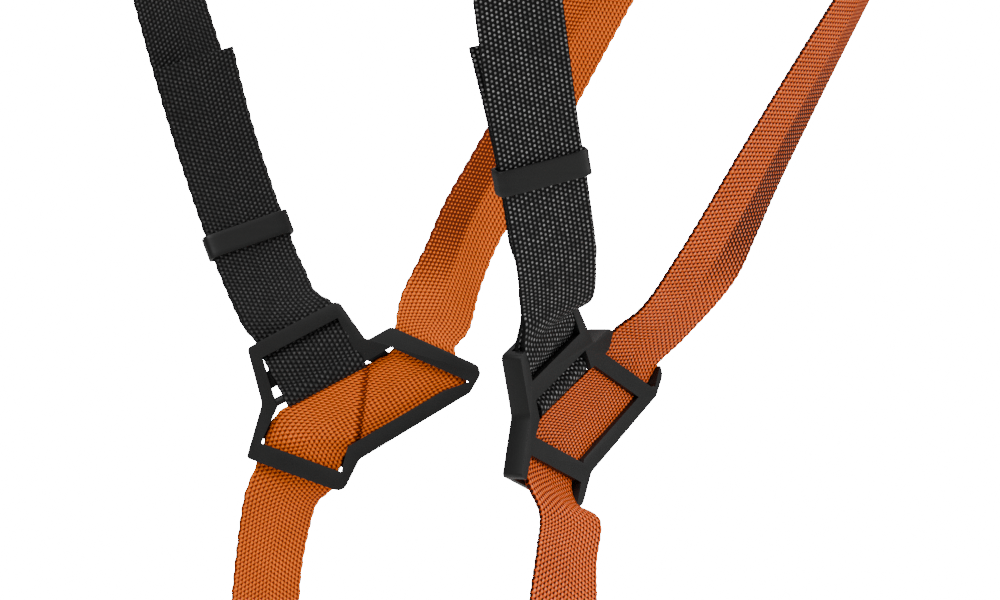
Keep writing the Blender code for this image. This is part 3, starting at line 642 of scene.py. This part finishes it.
rubber, tree, shader = new_material("satin_rubber", {"Specular IOR Level": 0.35, "IOR": 1.5})
place = add_node(tree, "ShaderNodeTexCoord")
long_way = add_node(tree, "ShaderNodeMapping", {"Vector": place.outputs["Object"], "Scale": (60, 60, 900)})
streak = add_node(tree, "ShaderNodeTexNoise", {"Vector": long_way, "Scale": 1.0, "Detail": 4.0})
ramp = add_node(tree, "ShaderNodeValToRGB", {0: streak})
ramp.color_ramp.elements[0].position, ramp.color_ramp.elements[1].position = 0.35, 0.7
ramp.color_ramp.elements[0].color, ramp.color_ramp.elements[1].color = colour("#020202"), colour("#0b0b0b")
tree.links.new(ramp.outputs[0], shader.inputs["Base Color"])
gloss = add_node(tree, "ShaderNodeMapRange", {"Value": streak, "To Min": 0.62, "To Max": 0.36})
tree.links.new(gloss.outputs[0], shader.inputs["Roughness"])
relief = add_node(tree, "ShaderNodeBump", {"Height": streak, "Strength": 0.4, "Distance": 0.1 * MM})
tree.links.new(relief.outputs[0], shader.inputs["Normal"])

BAND_HALF_W, BAND_HALF_T = 7.75 * MM, 1.5 * MM      # inside the ring
BAND_WALL = 0.65 * MM
BAND_CORNER = 0.22                                  # the smaller, the squarer the ring's corners


def upright_axes(point, side):
    """The strap's width, its outward normal and its upward direction at a frame, at right angles."""
    centre, width, out, along = point
    up = along if along.z > 0 else -along
    width = (width - width.dot(up) * up).normalized()
    out = up.cross(width)
    return width, out if out.y * side > 0 else -out, up


for side, arm, z, node in ((-1, "front", KEEPER_Z[-1], "left_keeper"),
                           (1, "front", KEEPER_Z[1], "right_keeper"),
                           (-1, "chin", CHIN_KEEPER_Z, "left_chin_keeper")):
    point = at_height(route_frames(side, arm), z)
    centre, (width, out, up) = point[0], upright_axes(point, side)
    # a ring drawn as a rounded rectangle round the two layers
    bm = bmesh.new()
    for vert in bmesh.ops.create_circle(bm, cap_ends=False, segments=64, radius=1.0)["verts"]:
        turn = math.atan2(vert.co.y, vert.co.x)
        flat = [math.copysign(abs(f) ** BAND_CORNER, f) for f in (math.cos(turn), math.sin(turn))]
        vert.co = (flat[0] * BAND_HALF_W, flat[1] * BAND_HALF_T, -KEEP_H / 2)
    edges = bm.edges[:]
    for level in (-0.3, 0.3, 0.5):
        extruded = bmesh.ops.extrude_edge_only(bm, edges=edges)["geom"]
        edges = [part for part in extruded if isinstance(part, bmesh.types.BMEdge)]
        for vert in {v for edge in edges for v in edge.verts}:
            vert.co.z = level * KEEP_H
    bmesh.ops.recalc_face_normals(bm, faces=bm.faces)
    axes = Matrix((width, out, up)).transposed().to_4x4()
    if axes.determinant() < 0:
        axes = Matrix((-width, out, up)).transposed().to_4x4()
    bmesh.ops.transform(bm, matrix=Matrix.Translation(centre - out * LAYER / 2) @ axes, verts=bm.verts)
    for face in bm.faces:
        face.smooth = True
    keeper = mesh_object(node + "_band", bm, rubber)
    wall = keeper.modifiers.new("wall", "SOLIDIFY")
    wall.thickness, wall.offset = BAND_WALL, 1.0
    rim = keeper.modifiers.new("rim", "BEVEL")
    rim.width, rim.segments, rim.limit_method, rim.angle_limit = 0.22 * MM, 3, "ANGLE", math.radians(50)
    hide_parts(node)
    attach(keeper, node)


# ---------- stitches ----------
# Each sewn-back end is held by a bar of zigzag stitches through both layers, in bonded thread of the
# webbing's colour.

def thread_material(name, dark, light):
    """Twisted bonded thread."""
    material, tree, shader = new_material(name, {"Roughness": 0.5, "Sheen Weight": 0.2})
    place = add_node(tree, "ShaderNodeTexCoord")
    twist = add_node(tree, "ShaderNodeTexWave", {"Vector": place.outputs["Object"], "Scale": 1800.0})
    ramp = add_node(tree, "ShaderNodeValToRGB", {0: twist})
    ramp.color_ramp.elements[0].color, ramp.color_ramp.elements[1].color = colour(dark), colour(light)
    tree.links.new(ramp.outputs[0], shader.inputs["Base Color"])
    return material


TACK_STITCHES = 20
TACK_PITCH = 0.6 * MM
TACK_LEAN = 14.0                                        # degrees, each way in turn
THREAD_HALF = (0.22 * MM, 0.2 * MM, 1.25 * MM)          # half a stitch's width, height and length
THREAD_RISE = 0.08 * MM                                 # how far its middle stands off the cloth

black_thread = thread_material("black_bonded_thread", "#101010", "#343434")
orange_thread = thread_material("orange_bonded_thread", "#b04a10", "#f08a3c")
# offset is where the bar of stitches lies, upwards from the end of its route
for side, label, arm, offset in ((-1, "left", "front", -10.5), (-1, "left", "rear", -10.5),
                                 (1, "right", "front", -10.5), (1, "right", "rear", -10.5),
                                 (1, "right", "chin", 10.5)):
    end = route_frames(side, arm)[-1]
    centre, (width, out, up) = end[0], upright_axes(end, side)
    bm = bmesh.new()
    for step in range(TACK_STITCHES):
        made = bmesh.ops.create_uvsphere(bm, u_segments=8, v_segments=5, radius=1.0)["verts"]
        bmesh.ops.scale(bm, vec=THREAD_HALF, verts=made)
        lean = math.radians(TACK_LEAN if step % 2 else -TACK_LEAN)
        bmesh.ops.rotate(bm, cent=(0, 0, 0), matrix=Matrix.Rotation(lean, 3, "Y"), verts=made)
        place = (step - (TACK_STITCHES - 1) / 2) * TACK_PITCH
        bmesh.ops.translate(bm, vec=(place, THREAD_RISE, 0), verts=made)
    axes = Matrix((width, out, up)).transposed().to_4x4()
    foot = centre + up * offset * MM + out * WEB_T / 2
    bmesh.ops.transform(bm, matrix=Matrix.Translation(foot) @ axes, verts=bm.verts)
    bmesh.ops.recalc_face_normals(bm, faces=bm.faces)
    for face in bm.faces:
        face.smooth = True
    thread = black_thread if arm == "front" else orange_thread
    stitches = mesh_object(label + "_" + arm + "_stitches", bm, thread)
    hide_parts(label + "_" + arm + "_tack")
    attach(stitches, "straps")
